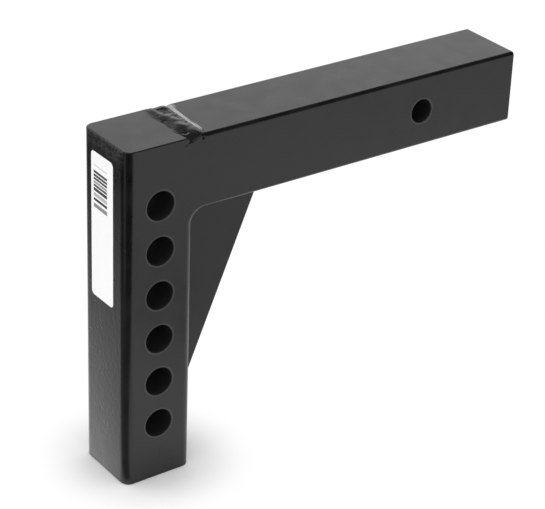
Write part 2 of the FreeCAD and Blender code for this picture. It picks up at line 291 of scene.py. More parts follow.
# The roughness of the coats and the paper at both ends of their mottling, and of the ground welds
BAR_ROUGHNESS = (0.27, 0.33)
PLATE_ROUGHNESS = (0.32, 0.40)
WELD_ROUGHNESS = (0.24, 0.34)
GROUND_WELD_ROUGHNESS = 0.30
PAPER_ROUGHNESS = (0.38, 0.48)
# How much grit the powder shows
BAR_GRIT = 0.25
PLATE_GRIT = 0.4
WELD_GRIT = 0.8

# How large the lumps of the marks are in millimetres, and the spans of noise over which they set in
MILL_SCALE_SIZE = 2.6
MILL_SCALE_SPAN = (0.35, 0.65)
PIT_SIZE = 3.2
PIT_SPAN = (0.60, 0.70)
SCUFF_SIZE = 1.5
SCUFF_SPAN = (0.42, 0.60)
WELD_SCALE_SIZE = 1.6
WELD_SCALE_SPAN = (0.35, 0.75)

# Millimetres that a height of 1 stands for, and the heights of the marks in the bars' coat
COAT_RELIEF = 0.03
WELD_RELIEF = 0.011
PAPER_RELIEF = 0.01
PIT_HEIGHT = -2.4
WORN_EDGE_HEIGHT = -11.0
SCRATCH_HEIGHT = -16.0
BEND_HEIGHT = -42.0

# Spans in millimetres over which the marks set in
FRONT_FACE_X = (UPRIGHT_FRONT_X + 1.2, UPRIGHT_FRONT_X + 0.1)
SCUFFED_Z = (12.0, 20.0)
PITTED_Y = (-6.0, 6.0)
WORN_EDGE_Z = (TOP_Z - 2.4, TOP_Z - 0.6)
ROUGH_WELD = (HALF_WIDTH - 0.05, HALF_WIDTH - 0.3)
# The broken edge round the upright's sawn top, from its lower to its upper side
SAWN_EDGE_Z = (TOP_Z - 0.62, TOP_Z - 0.02)

# The bevel's bends: how far they stand out at most, the run over which the top sinks to them, the
# spans over which they set in and the near one ends again, and how far from the middle the top
# starts to sink
FAR_BEND = 1.5
NEAR_BEND = 1.2
BEND_RUN = 1.5
FAR_BEND_Y = (8.0, 19.0)
NEAR_BEND_Y = (-2.0, -15.0)
NEAR_BEND_END_Y = (-24.0, -17.5)
BENDS_FROM_MIDDLE = (2.0, 5.0)
# Just under the bars' tops, and a place along X that the top weld covers
BAR_TOP_Z = TOP_Z - 0.1
UNDER_WELD_X = -180.0

# The gouge beside the top weld's near end: its upper end, the run from there to the lower one, and
# its width at both
SCRATCH_START = (-183.2, -25.4, 23.8)
SCRATCH_RUN = (-5.1, 0.0, -3.3)
SCRATCH_WIDTHS = (1.1, 0.6)


def sawn_edge(tree, place):
    """1 on the broken edge round the upright's sawn top, where the coat is thin and dull."""
    axes = split(tree, place)
    lower, upper = SAWN_EDGE_Z
    above_side = calculate(tree, "GREATER_THAN", axes["Z"], lower * MM)
    below_top = calculate(tree, "LESS_THAN", axes["Z"], upper * MM)
    upright = calculate(tree, "LESS_THAN", axes["X"], WELD_LEFT_X * MM)
    return product(tree, above_side, below_top, upright)


def upright_front(tree, place):
    """1 on the upright's front face."""
    return fade_over(tree, split(tree, place)["X"], FRONT_FACE_X)


def above_label(tree, place):
    """1 near the top of the bars, where the upright's front is scuffed."""
    return fade_over(tree, split(tree, place)["Z"], SCUFFED_Z)


def front_scale(tree, place):
    """The upright's front face: mill scale under its coat, a few pits, and a worn upper edge."""
    axes = split(tree, place)
    scale = fade(tree, grain(tree, place, MILL_SCALE_SIZE, detail=3.0), *MILL_SCALE_SPAN)
    pits = fade(tree, grain(tree, place, PIT_SIZE), *PIT_SPAN)
    left_side = fade_over(tree, axes["Y"], PITTED_Y)
    pitted = product(tree, pits, largest(tree, left_side, above_label(tree, place)))
    rough = calculate(tree, "MULTIPLY_ADD", pitted, PIT_HEIGHT, scale)
    worn = fade_over(tree, axes["Z"], WORN_EDGE_Z)
    height = calculate(tree, "MULTIPLY_ADD", worn, WORN_EDGE_HEIGHT, rough)
    return product(tree, height, upright_front(tree, place))


def bent_bevel(tree, place):
    """How far the receiver bar's top sinks towards its bevel, which bends away near both ends."""
    axes = split(tree, place)
    slant = (BEVEL_FAR_X - BEVEL_NEAR_X) / (2 * HALF_WIDTH)
    middle_x = (BEVEL_FAR_X + BEVEL_NEAR_X) / 2
    bevel = calculate(tree, "MULTIPLY_ADD", axes["Y"], slant, middle_x * MM)
    far_bend = product(tree, fade_over(tree, axes["Y"], FAR_BEND_Y), FAR_BEND * MM)
    near_share = fade_over(tree, axes["Y"], NEAR_BEND_Y)
    near_end = fade_over(tree, axes["Y"], NEAR_BEND_END_Y)
    near_bend = product(tree, near_share, near_end, NEAR_BEND * MM)
    bend = calculate(tree, "ADD", far_bend, near_bend)
    reach = calculate(tree, "SUBTRACT", calculate(tree, "ADD", bevel, bend), axes["X"])
    sunk = calculate(tree, "DIVIDE", reach, BEND_RUN * MM, clamp=True)
    top = calculate(tree, "GREATER_THAN", axes["Z"], BAR_TOP_Z * MM)
    beside_weld = calculate(tree, "GREATER_THAN", axes["X"], UNDER_WELD_X * MM)
    off_middle = fade_over(tree, calculate(tree, "ABSOLUTE", axes["Y"]), BENDS_FROM_MIDDLE)
    return product(tree, sunk, top, beside_weld, off_middle)


def near_scratch(tree, place):
    """1 along a gouge in the upright's near side that runs down from the weld's end."""
    run = Vector(SCRATCH_RUN) * MM
    step = calculate_vector(tree, "SUBTRACT", place, Vector(SCRATCH_START) * MM)
    reach = calculate_vector(tree, "DOT_PRODUCT", step, run)
    share = calculate(tree, "DIVIDE", reach, run.length_squared, clamp=True)
    nearest = add(tree, "ShaderNodeVectorMath", {0: run, "Scale": share}, operation="SCALE")
    apart = calculate_vector(tree, "DISTANCE", step, nearest.outputs["Vector"])
    width = blend_values(tree, share, *[width * MM for width in SCRATCH_WIDTHS])
    return fade(tree, calculate(tree, "DIVIDE", apart, width), 1.0, 0.3)


def make_bar_coat(powder_skin, hole_places):
    """Semi-gloss black powder coat of the two bars, thin and dull inside their holes."""
    material, tree, place = new_material("bar_coat")
    skin = use_group(tree, powder_skin, {"Place": place, "Grit": BAR_GRIT})
    bolt_holes = use_group(
        tree,
        hole_places,
        {
            "Place": place,
            "Centre X": BOLT_HOLE_X * MM,
            "Centre Z": FIRST_BOLT_HOLE_Z * MM,
            "Pitch": BOLT_HOLE_PITCH * MM,
            "Last": BOLT_HOLE_COUNT - 1.0,
            "Radius": BOLT_HOLE_RADIUS * MM,
        },
    )
    pin_hole = use_group(tree, hole_places, {"Place": place, "Radius": PIN_HOLE_RADIUS * MM})
    bores = largest(tree, bolt_holes["Inside"], pin_hole["Inside"])
    rims = largest(tree, bolt_holes["Rim"], pin_hole["Rim"])
    specks = fade(tree, grain(tree, place, SCUFF_SIZE), *SCUFF_SPAN)
    scuffs = product(tree, specks, above_label(tree, place), upright_front(tree, place))
    coat = mix_colours(tree, skin["Mottle"], COAT_BLACK, COAT_WORN)
    # The scuffs are rubbed coat; the rims are worn and get the same lighter colour as a painted
    # highlight
    outer = mix_colours(tree, largest(tree, rims, scuffs), coat, COAT_RUBBED_AND_SHEEN)
    colour = mix_colours(tree, bores, outer, BORE_BLACK)
    gloss = blend_values(tree, skin["Mottle"], *BAR_ROUGHNESS)
    scratch = near_scratch(tree, place)
    dull = largest(tree, bores, sawn_edge(tree, place), scratch)
    roughness = largest(tree, gloss, product(tree, dull, DULL_ROUGHNESS))
    height = calculate(tree, "ADD", skin["Height"], front_scale(tree, place))
    height = calculate(tree, "MULTIPLY_ADD", scratch, SCRATCH_HEIGHT, height)
    height = calculate(tree, "MULTIPLY_ADD", bent_bevel(tree, place), BEND_HEIGHT, height)
    finish_coat(tree, colour, roughness, bump(tree, height, COAT_RELIEF))
    return material


def make_plate_coat(powder_skin):
    """The same powder coat on the gusset plate, a little duller."""
    material, tree, place = new_material("plate_coat")
    skin = use_group(tree, powder_skin, {"Place": place, "Grit": PLATE_GRIT})
    colour = mix_colours(tree, skin["Mottle"], COAT_BLACK, COAT_WORN)
    roughness = blend_values(tree, skin["Mottle"], *PLATE_ROUGHNESS)
    finish_coat(tree, colour, roughness, bump(tree, skin["Height"], COAT_RELIEF))
    return material


def make_weld_coat(powder_skin):
    """Powder coat over rough weld metal, and smooth on the ends that are ground flush."""
    material, tree, place = new_material("weld_coat")
    skin = use_group(tree, powder_skin, {"Place": place, "Grit": WELD_GRIT})
    from_middle = calculate(tree, "ABSOLUTE", split(tree, place)["Y"])
    rough = fade_over(tree, from_middle, ROUGH_WELD)
    scale = fade(tree, grain(tree, place, WELD_SCALE_SIZE, detail=4.0), *WELD_SCALE_SPAN)
    height = calculate(tree, "MULTIPLY_ADD", scale, rough, skin["Height"])
    colour = mix_colours(tree, scale, COAT_BLACK, COAT_WORN)
    patchy = blend_values(tree, scale, *WELD_ROUGHNESS)
    roughness = blend_values(tree, rough, GROUND_WELD_ROUGHNESS, patchy)
    finish_coat(tree, colour, roughness, bump(tree, height, WELD_RELIEF))
    return material


# The printed area of the label, and how far the print runs downhill: height over width
PRINT_TOP_Z = 6.0
PRINT_BOTTOM_Z = -28.0
PRINT_LEFT_Y = 12.0
PRINT_RIGHT_Y = -3.8
PRINT_SLANT = 0.025
# Centre Z, thickness and darkness of each printed bar
PRINTED_BARS = (
    (4.1, 1.1, 0.30),
    (-0.4, 1.7, 1.0),
    (-2.9, 1.7, 1.0),
    (-5.2, 1.6, 1.0),
    (-7.6, 1.5, 0.72),
    (-9.9, 1.7, 0.95),
    (-12.6, 2.3, 1.0),
    (-16.1, 2.6, 0.52),
    (-19.5, 2.1, 1.0),
    (-23.7, 2.9, 0.76),
)
# Shades of the paper and the ink, how dense the ink is, and how large the patches of both, the
# paper's glossier spots and its fibres are in millimetres
PAPER_SHADES = (0.94, 0.97)
INK_SHADE = 0.02
INK_DENSITY = (0.85, 1.08)
INK_SIZE = 1.2
PAPER_SIZE = 6.0
PAPER_GLOSS_SIZE = 4.0
FIBRE_SIZE = 0.5


def make_label_paper():
    """White gloss paper with a plain pattern of printed bars."""
    material, tree, place = new_material("label_paper")
    axes = split(tree, place)
    from_left = calculate(tree, "SUBTRACT", PRINT_LEFT_Y * MM, axes["Y"])
    inputs = {
        "Value": calculate(tree, "MULTIPLY_ADD", from_left, PRINT_SLANT, axes["Z"]),
        "From Min": PRINT_TOP_Z * MM,
        "From Max": PRINT_BOTTOM_Z * MM,
    }
    down = add(tree, "ShaderNodeMapRange", inputs).outputs[0]
    bars = add(tree, "ShaderNodeValToRGB", {"Fac": down})
    ramp = bars.color_ramp
    ramp.interpolation = "CONSTANT"
    ramp.elements[0].color = grey(0.0)
    ramp.elements.remove(ramp.elements[1])
    for centre, thickness, darkness in PRINTED_BARS:
        for edge, shade in ((centre + thickness / 2, darkness), (centre - thickness / 2, 0.0)):
            stop = ramp.elements.new((PRINT_TOP_Z - edge) / (PRINT_TOP_Z - PRINT_BOTTOM_Z))
            stop.color = grey(shade)
    left = calculate(tree, "LESS_THAN", axes["Y"], PRINT_LEFT_Y * MM)
    right = calculate(tree, "GREATER_THAN", axes["Y"], PRINT_RIGHT_Y * MM)
    patchy = blend_values(tree, grain(tree, place, INK_SIZE), *INK_DENSITY)
    ink = product(tree, bars.outputs["Color"], left, right, patchy)
    paper_shades = [grey(shade) for shade in PAPER_SHADES]
    paper = mix_colours(tree, grain(tree, place, PAPER_SIZE), *paper_shades)
    colour = mix_colours(tree, ink, paper, grey(INK_SHADE))
    roughness = blend_values(tree, grain(tree, place, PAPER_GLOSS_SIZE), *PAPER_ROUGHNESS)
    finish_coat(tree, colour, roughness, bump(tree, grain(tree, place, FIBRE_SIZE), PAPER_RELIEF))
    return material


# Studio

# Half the floor's width, in metres
FLOOR_REACH = 15.0
# Its own shade, the white it turns into, and how much of it turns
FLOOR_SHADE = 0.94
FLOOR_WHITE = 1.02
WHITE_SHARE = 0.90
# The middle of the shadow on it, and the span from there over which the floor turns white
SHADOW_MIDDLE_X = -202.975
SHADOW_FADES = (34.0, 77.0)
# How far the cards lie over the floor, in millimetres
CARD_LIFT = 1.0
# The foot of the upright's front face, in metres
FOOT = (UPRIGHT_FRONT_X * MM, 0.0, FLOOR_Z * MM)
# The black card: its shade at the foot, and the distance from there, in metres, over which it gets
# to that from black
BLACK_CARD_SHADE = 0.20
BLACK_CARD_SPAN = (0.40, 0.03)
# Its wedge: directions along and across it, how far aside its edge and its full part lie for each
# metre along it, the least length along it that counts, the distance from the foot over which it
# sets in, and its shade
WEDGE_ALONG = (-0.98, -0.20, 0.0)
WEDGE_ACROSS = (-0.20, 0.98, 0.0)
WEDGE_OPENING = (0.20, 0.08)
WEDGE_TIP = 0.01
WEDGE_SPAN = (0.18, 0.32)
WEDGE_SHADE = 0.6
# The grey card: its shades from the foot outwards, and the distances over which they change
GREY_CARD_SHADES = (0.62, 0.94, 0.71)
GREY_CARD_SPANS = ((0.28, 0.46), (0.50, 0.74))
# The glowing card, a painted pool of light that only shows in reflections: how far its light
# reaches, how it falls off, and its strength at the foot and beyond
LIT_CARD_REACH = 0.57
LIT_CARD_POWER = 1.7
LIT_CARD_STRENGTH = 1.25
LIT_CARD_LEAST = 0.02
# The direction across it, how far to both sides it changes, and the factor at its far side and at
# its near one, there away from the foot and close to it
LIT_CARD_ACROSS = (0.853, 0.522, 0.0)
LIT_CARD_HALF = 0.022
LIT_CARD_FAR = 1.90
LIT_CARD_NEAR = (0.29, 0.56)
LIT_CARD_CLOSE = (0.80, 1.0)


def seen_directly(tree):
    """1 for camera, glossy and transmission rays, and 0 for the others."""
    rays = tree.nodes.new("ShaderNodeLightPath").outputs
    return largest(tree, rays["Is Camera Ray"], rays["Is Glossy Ray"], rays["Is Transmission Ray"])


def make_floor():
    """A floor that takes the shadow round the upright's foot and turns white away from it."""
    bm = bmesh.new()
    bmesh.ops.create_grid(bm, x_segments=1, y_segments=1, size=FLOOR_REACH)
    bmesh.ops.translate(bm, verts=bm.verts, vec=(0, 0, FLOOR_Z * MM))
    floor = link_piece(bm, "floor")
    material, tree, place = new_material("floor_white")
    lit = add(tree, "ShaderNodeBsdfDiffuse", {"Color": grey(FLOOR_SHADE)})
    white = add(tree, "ShaderNodeEmission", {"Color": grey(1.0), "Strength": FLOOR_WHITE})
    middle = (SHADOW_MIDDLE_X * MM, 0.0, FLOOR_Z * MM)
    away = calculate_vector(tree, "DISTANCE", place, middle)
    share = product(tree, seen_directly(tree), fade_over(tree, away, SHADOW_FADES), WHITE_SHARE)
    show(tree, add(tree, "ShaderNodeMixShader", {0: share, 1: lit.outputs[0], 2: white.outputs[0]}))
    floor.data.materials.append(material)


def make_card(name, outline, make_shader):
    """A sheet on the floor that only shows in reflections, as a photographer's cards do. The
    glowing one paints a pool of light into them.
    """
    bm = bmesh.new()
    corners = [bm.verts.new((x * MM, y * MM, (FLOOR_Z + CARD_LIFT) * MM)) for x, y in outline]
    bm.faces.new(corners)
    card = link_piece(bm, name)
    material, tree, place = new_material(name)
    show(tree, make_shader(tree, place))
    card.data.materials.append(material)
    card.visible_camera = False
    card.visible_diffuse = False
    card.visible_shadow = False
    card.visible_transmission = False


def black_paper(tree, place):
    """Black, dark grey near the upright's foot, with a grey wedge that its rounded edge shows."""
    step = calculate_vector(tree, "SUBTRACT", place, FOOT)
    away = calculate_vector(tree, "DISTANCE", place, FOOT)
    along = calculate_vector(tree, "DOT_PRODUCT", step, WEDGE_ALONG)
    aside = calculate(tree, "ABSOLUTE", calculate_vector(tree, "DOT_PRODUCT", step, WEDGE_ACROSS))
    slant = calculate(tree, "DIVIDE", aside, largest(tree, along, WEDGE_TIP))
    wedge = product(tree, fade(tree, slant, *WEDGE_OPENING), fade(tree, away, *WEDGE_SPAN))
    near_foot = fade(tree, away, *BLACK_CARD_SPAN)
    dark = mix_colours(tree, near_foot, grey(0.0), grey(BLACK_CARD_SHADE))
    colour = mix_colours(tree, wedge, dark, grey(WEDGE_SHADE))
    return add(tree, "ShaderNodeBsdfDiffuse", {"Color": colour})


def grey_paper(tree, place):
    """Grey at the upright's foot, lighter further out, and a little darker again beyond that."""
    away = calculate_vector(tree, "DISTANCE", place, FOOT)
    at_foot, further, beyond = [grey(shade) for shade in GREY_CARD_SHADES]
    first_span, second_span = GREY_CARD_SPANS
    inner = mix_colours(tree, fade(tree, away, *first_span), at_foot, further)
    colour = mix_colours(tree, fade(tree, away, *second_span), inner, beyond)
    return add(tree, "ShaderNodeBsdfDiffuse", {"Color": colour})


def painted_glow(tree, place):
    """A painted glow, seen only in reflections: bright at the upright's foot and darker away from
    it, and brighter towards the far side.
    """
    step = calculate_vector(tree, "SUBTRACT", place, FOOT)
    away = calculate_vector(tree, "DISTANCE", place, FOOT)
    share = calculate(tree, "DIVIDE", away, LIT_CARD_REACH)
    nearness = calculate(tree, "SUBTRACT", 1.0, share, clamp=True)
    inputs = {
        "Value": calculate_vector(tree, "DOT_PRODUCT", step, LIT_CARD_ACROSS),
        "From Min": -LIT_CARD_HALF,
        "From Max": LIT_CARD_HALF,
        "To Min": blend_values(tree, fade(tree, nearness, *LIT_CARD_CLOSE), *LIT_CARD_NEAR),
        "To Max": LIT_CARD_FAR,
    }
    sideways = add(tree, "ShaderNodeMapRange", inputs).outputs[0]
    falloff = calculate(tree, "POWER", nearness, LIT_CARD_POWER)
    lit = calculate(tree, "MULTIPLY_ADD", falloff, LIT_CARD_STRENGTH, LIT_CARD_LEAST)
    return add(tree, "ShaderNodeEmission", {"Strength": product(tree, lit, sideways)})


# Corners of the cards, in millimetres. The black and the glowing one meet along a line from the
# upright's front edge.
BLACK_CARD = (
    (-229.0, -30.0),
    (-2593.0, 1818.0),
    (-3000.0, -3000.0),
    (500.0, -3000.0),
    (-170.0, -430.0),
    (-250.0, -230.0),
    (-280.0, -110.0),
)
GREY_CARD = (
    (-130.0, -330.0),
    (-110.0, -130.0),
    (150.0, -130.0),
    (3000.0, -300.0),
    (3000.0, -3000.0),
    (600.0, -3000.0),
)
LIT_CARD = (
    (-229.0, -30.0),
    (-229.0, 26.0),
    (-490.0, 3000.0),
    (-2593.0, 1818.0),
)


def make_soft_light(name, direction, distance, size, strength):
    """A square soft light whose face has the given brightness, where white is 1."""
    aim = Vector((UPRIGHT_BACK_X * MM, 0, 0))
    away = Vector(direction).normalized()
    data = bpy.data.lights.new(name, "AREA")
    data.shape = "SQUARE"
    data.size = size
    data.energy = strength * math.pi * size * size
    light = bpy.data.objects.new(name, data)
    light.location = aim + away * distance
    light.rotation_mode = "QUATERNION"
    light.rotation_quaternion = away.to_track_quat("Z", "Y")
    light.visible_camera = False
    bpy.context.scene.collection.objects.link(light)
    return light


# The back wall in reflections: the spans of a direction's Z, Y and X over which it sets in
WALL_Z = (0.62, 0.50)
WALL_Y = (-0.25, 0.25)
WALL_X = (-0.45, 0.15)
# Brightness of the wall, of the room round it, and of the dome
WALL_SHADE = 1.22
ROOM_SHADE = 0.03
DOME_SHADE = 1.06


def make_world():
    """A soft even dome, which shows in reflections as a white back wall in a dark room."""
    world = bpy.data.worlds.new("studio")
    world.use_nodes = True
    tree = world.node_tree
    tree.nodes.clear()
    axes = split(tree, tree.nodes.new("ShaderNodeTexCoord").outputs["Generated"])
    low = fade(tree, axes["Z"], *WALL_Z)
    back = fade(tree, axes["Y"], *WALL_Y)
    right = fade(tree, axes["X"], *WALL_X)
    wall = product(tree, low, back, right)
    room = mix_colours(tree, wall, grey(ROOM_SHADE), grey(WALL_SHADE))
    colour = mix_colours(tree, seen_directly(tree), grey(DOME_SHADE), room)
    background = add(tree, "ShaderNodeBackground", {"Color": colour, "Strength": 1.0})
    output = tree.nodes.new("ShaderNodeOutputWorld")
    tree.links.new(background.outputs[0], output.inputs["Surface"])
    bpy.context.scene.world = world


# Softboxes that only show in the coat, and the light that only lays the shadow: direction, distance
# and width in metres, and strength
REFLECTED_LIGHTS = (
    ("back_softbox", (-0.447, 0.709, 0.545), 1.1, 0.55, 10.5),
    ("top_softbox", (-0.25, -0.13, 0.95), 1.0, 0.35, 6.0),
)
SHADOW_LIGHT = ("shadow_light", (-0.50, 0.45, 0.74), 1.4, 0.7, 0.8)


def make_studio():
    """The floor, the cards and the lights, round the upright's foot."""
    make_floor()
    make_card("black_card", BLACK_CARD, black_paper)
    make_card("grey_card", GREY_CARD, grey_paper)
    make_card("glowing_card", LIT_CARD, painted_glow)
    for light in REFLECTED_LIGHTS:
        make_soft_light(*light).visible_diffuse = False
    make_soft_light(*SHADOW_LIGHT).visible_glossy = False
    make_world()
    bpy.context.scene.view_settings.view_transform = "Standard"


# Pieces


def link_piece(bm, name):
    """Makes an object of a bmesh, which it frees."""
    mesh = bpy.data.meshes.new(name)
    bm.to_mesh(mesh)
    bm.free()
    piece = bpy.data.objects.new(name, mesh)
    bpy.context.scene.collection.objects.link(piece)
    return piece


def line_up(table, along):
    """Reads a value off a table of (along, value) pairs, straight between them."""
    if along <= table[0][0]:
        return table[0][1]
    for (start, low), (end, high) in zip(table, table[1:]):
        if along <= end:
            return low + (high - low) * (along - start) / (end - start)
    return table[-1][1]


def between(low, high, share):
    return low + (high - low) * share


def limit(share):
    """Keeps a share within 0 to 1."""
    return max(0.0, min(1.0, share))


def share_of_way(value, start, end):
    """0 before start, 1 past end, and straight in between."""
    return limit((value - start) / (end - start))


def edge_drop(radius, past):
    """How far a rounded edge falls away, past where it starts."""
    return radius - math.sqrt(max(0.0, radius * radius - past * past))


def lumps(x, y, z, size):
    """Smooth noise of -1 to 1, with lumps about size millimetres across."""
    return noise.noise(Vector((x, y, z)) / size)


# Faces that meet at more degrees than this show an edge
SHARP_ANGLE = 50


def lay_weld(name, node, cuts, shape, weld_coat):
    """A block cut across, along and up, whose points shape moves into place in millimetres."""
    bm = bmesh.new()
    bmesh.ops.create_cube(bm, size=1.0)
    bmesh.ops.translate(bm, verts=bm.verts, vec=(0.5, 0.5, 0.5))
    for axis, count in enumerate(cuts):
        rungs = [e for e in bm.edges if abs(e.verts[0].co[axis] - e.verts[1].co[axis]) > 0.5]
        bmesh.ops.subdivide_edges(bm, edges=rungs, cuts=count, use_grid_fill=True)
    for vert in bm.verts:
        vert.co = Vector(shape(*vert.co)) * MM
    bmesh.ops.recalc_face_normals(bm, faces=bm.faces)
    weld = link_piece(bm, name)
    weld.data.shade_smooth()
    weld.data.set_sharp_from_angle(angle=math.radians(SHARP_ANGLE))
    weld.data.materials.append(weld_coat)
    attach(weld, "root")
    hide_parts(node)


# The welds that cross the bars stop just short of the bars' sides
WELD_HALF_LENGTH = 25.38

# The top weld as lines that run along it. Each row has its place along Y first, and heights are
# over the bars' tops, where the weld stays under HIGHEST_WELD.
HIGHEST_WELD = 0.34
# Its lap on the upright: where it ends, and how high it gets
LAP_X = -187.33
HIGHEST_LAP = 0.32
# A rib in the slope behind the lap: where it is, and the step down behind it
RIB_X = -184.3
RIB_STEP = 0.25
# How far a sight line of the photo runs along X while it rises by 1
SIGHT_SLOPE = 1.22
# Where the weld starts on the upright
TOE = (
    (-25.4, -187.5),
    (-23.5, -187.7),
    (-21.5, -188.2),
    (-17.5, -188.5),
    (-13.5, -189.5),
    (-11.5, -189.4),
    (-7.5, -188.5),
    (-3.5, -188.7),
    (0.5, -188.1),
    (4.5, -188.9),
    (8.5, -189.0),
    (12.5, -189.7),
    (16.5, -189.2),
    (20.5, -188.4),
    (22.5, -187.8),
    (25.4, -187.5),
)
# How steeply it rises to its crest, and its height behind the rib, where that rise starts
LEFT_SLOPE = (
    (-25.4, 0.180),
    (-16.0, 0.205),
    (-12.0, 0.165),
    (-8.0, 0.190),
    (-4.0, 0.225),
    (0.0, 0.222),
    (3.0, 0.210),
    (6.0, 0.190),
    (12.5, 0.190),
    (18.0, 0.180),
    (25.4, 0.150),
)
LEFT_LEVEL = (
    (-25.4, -1.32),
    (-20.0, -1.32),
    (-16.0, -1.25),
    (-11.5, -0.92),
    (-8.0, -0.68),
    (-4.0, -0.68),
    (0.0, -0.74),
    (5.0, -0.62),
    (10.0, -0.42),
    (16.0, -0.30),
    (20.0, -0.22),
    (25.4, -0.16),
)
# The last part of that slope, over which it levels out
ROUND_OVER = (
    (-25.4, 2.6),
    (-19.5, 2.6),
    (-16.0, 4.4),
    (-13.0, 5.0),
    (-11.5, 6.0),
    (-9.5, 2.6),
    (-4.0, 2.6),
    (-1.0, 3.8),
    (0.5, 4.4),
    (2.5, 2.0),
    (9.0, 2.2),
    (25.4, 2.0),
)
# Where its crest is
CREST = (
    (-25.4, -174.6),
    (-19.0, -174.0),
    (-13.0, -174.1),
    (-11.5, -174.9),
    (-9.5, -177.4),
    (-7.5, -177.9),
    (-5.5, -178.5),
    (-3.5, -178.9),
    (-1.5, -178.9),
    (0.5, -177.5),
    (2.5, -178.0),
    (4.5, -178.6),
    (6.5, -179.2),
    (8.5, -179.0),
    (10.5, -180.1),
    (12.5, -180.9),
    (14.5, -181.6),
    (16.5, -182.0),
    (18.5, -181.7),
    (21.0, -182.0),
    (25.4, -182.0),
)
# The foot of its other side: X, and the drop from the crest
FLANK = (
    (-25.4, -174.0, 0.03),
    (-13.0, -173.9, 0.01),
    (-11.5, -174.3, 0.01),
    (-9.5, -175.8, 0.05),
    (-7.5, -175.6, 0.20),
    (-5.5, -175.3, 0.56),
    (-3.5, -175.6, 0.30),
    (-1.5, -175.4, 0.18),
    (0.5, -175.2, 0.26),
    (2.5, -175.2, 0.60),
    (4.5, -175.8, 0.36),
    (6.5, -176.6, 0.18),
    (8.5, -177.6, 0.12),
    (10.5, -176.0, 0.36),
    (12.5, -177.4, 0.78),
    (14.5, -178.3, 0.98),
    (16.5, -178.9, 0.82),
    (18.5, -180.2, 0.30),
    (21.0, -180.8, 0.10),
    (25.4, -180.8, 0.05),
)
# A lower crest beside the bevel: X, and the slope up to it
SECOND_CREST = (
    (-25.4, -173.8, 0.00),
    (-13.0, -173.7, 0.00),
    (-11.5, -174.1, 0.00),
    (-4.0, -174.2, 0.02),
    (2.5, -174.4, 0.00),
    (6.5, -174.9, 0.02),
    (8.5, -174.8, 0.13),
    (10.5, -174.8, 0.02),
    (12.5, -174.4, -0.03),
    (14.5, -174.1, 0.08),
    (16.5, -173.7, 0.06),
    (18.5, -173.2, 0.065),
    (20.5, -173.4, 0.115),
    (22.5, -174.0, 0.10),
    (25.4, -174.5, 0.08),
)
# The height that slope starts at, at most
GAP_LEVEL = (
    (8.0, 0.30),
    (12.0, 0.10),
    (16.5, -0.90),
    (18.5, -0.90),
    (20.5, -1.00),
    (22.5, -0.65),
    (25.4, -0.40),
)
# How much of the receiver bar's bevel shows over the weld, in depth
BEVEL_SHOWN = (
    (-25.4, 0.00),
    (-21.0, 0.00),
    (-19.5, 0.12),
    (-17.5, 0.35),
    (-13.5, 0.60),
    (-9.5, 0.75),
    (-5.5, 1.00),
    (-1.0, 1.20),
    (3.3, 1.40),
    (8.7, 1.30),
    (13.1, 1.75),
    (16.5, 1.65),
    (19.4, 1.60),
    (25.4, 1.70),
)
# How far the weld rolls off before it
ROLL_OFF = (
    (-20.0, 0.00),
    (-15.0, 0.13),
    (10.0, 0.15),
    (13.0, 0.25),
)
# Columns of the mesh between those lines
COLUMNS = (4, 1, 6, 1, 8, 3, 3, 3, 10, 1, 8, 5, 5)
# How far its toe and its foot go into the bars
TOE_DEPTH = 0.02
FOOT_DEPTH = 0.3
# Distances from the middle past which the weld falls towards its ends, and how far it falls there,
# across X
FAR_DROP_START = 21.0
NEAR_DROP_START = 13.0
FAR_DROP = (
    (-187.0, 0.05),
    (-184.0, 0.35),
    (-181.5, 0.45),
    (-179.0, 0.6),
    (-172.0, 0.7),
    (-170.0, 1.5),
)
NEAR_DROP = (
    (-187.33, 0.0),
    (-187.28, 1.6),
    (-185.5, 2.3),
    (-183.5, 2.3),
    (-182.0, 1.9),
    (-180.5, 1.5),
    (-178.5, 0.9),
    (-176.8, 0.4),
    (-175.0, 0.05),
    (-173.4, 0.0),
)
# The radius of its near end's edge, and where that grows to the receiver bar's
NEAR_END_RADIUS = 0.6
NEAR_END_GROWS_X = (-177.0, -174.0)
# Round hollows in its surface: X, Y, radius and rise
SPOTS = (
    (-176.4, 7.9, 0.9, -0.15),
    (-184.4, 4.2, 1.7, -0.13),
    (-187.0, 6.2, 0.9, -0.10),
    (-183.3, 12.8, 0.9, -0.10),
    (-181.2, -13.8, 1.4, -0.12),
)
# Fine lumps all over it: rise, size, and where in the noise they are read
FINE_LUMPS = (
    (0.014, 2.4, 0.0),
    (0.006, 1.0, 9.0),
)
# A pit with a level floor: X, Y, radius and height of the floor
PIT = (-182.9, -16.4, 1.6, -1.55)
# Its rim on the side towards PIT_RIM_SIDE: distance from the pit's middle, half width and rise
PIT_RIM = (2.3, 0.5, 0.3)
PIT_RIM_SIDE = (-0.6, -0.8)
# Dark nicks in its near side: X and Z of both ends, half width and depth
NICKS = (
    ((-182.6, 24.2), (-185.4, 22.6), 0.7, 0.45),
    ((-175.7, 23.4), (-175.7, 22.7), 0.65, 0.7),
)
# The depth of its root at the bars' sides
SIDE_ROOT_DEPTH = 13.0
# Cuts of its block across, along and up
TOP_CUTS = (sum(COLUMNS) - 1, 150, 30)


def curve_through(table, along, column=1):
    """Reads a column off a table by its first one, on a smooth curve through its rows."""
    if along <= table[0][0]:
        return table[0][column]
    if along >= table[-1][0]:
        return table[-1][column]
    index = max(i for i, row in enumerate(table) if row[0] <= along)
    rows = [table[min(max(i, 0), len(table) - 1)] for i in range(index - 1, index + 3)]
    (before, start, end, after) = [(row[0], row[column]) for row in rows]
    span = end[0] - start[0]
    rise_in = (end[1] - before[1]) / (end[0] - before[0]) * span
    rise_out = (after[1] - start[1]) / (after[0] - start[0]) * span
    t = (along - start[0]) / span
    return (
        start[1] * (1 + 2 * t) * (1 - t) ** 2
        + rise_in * t * (1 - t) ** 2
        + end[1] * t * t * (3 - 2 * t)
        - rise_out * t * t * (1 - t)
    )


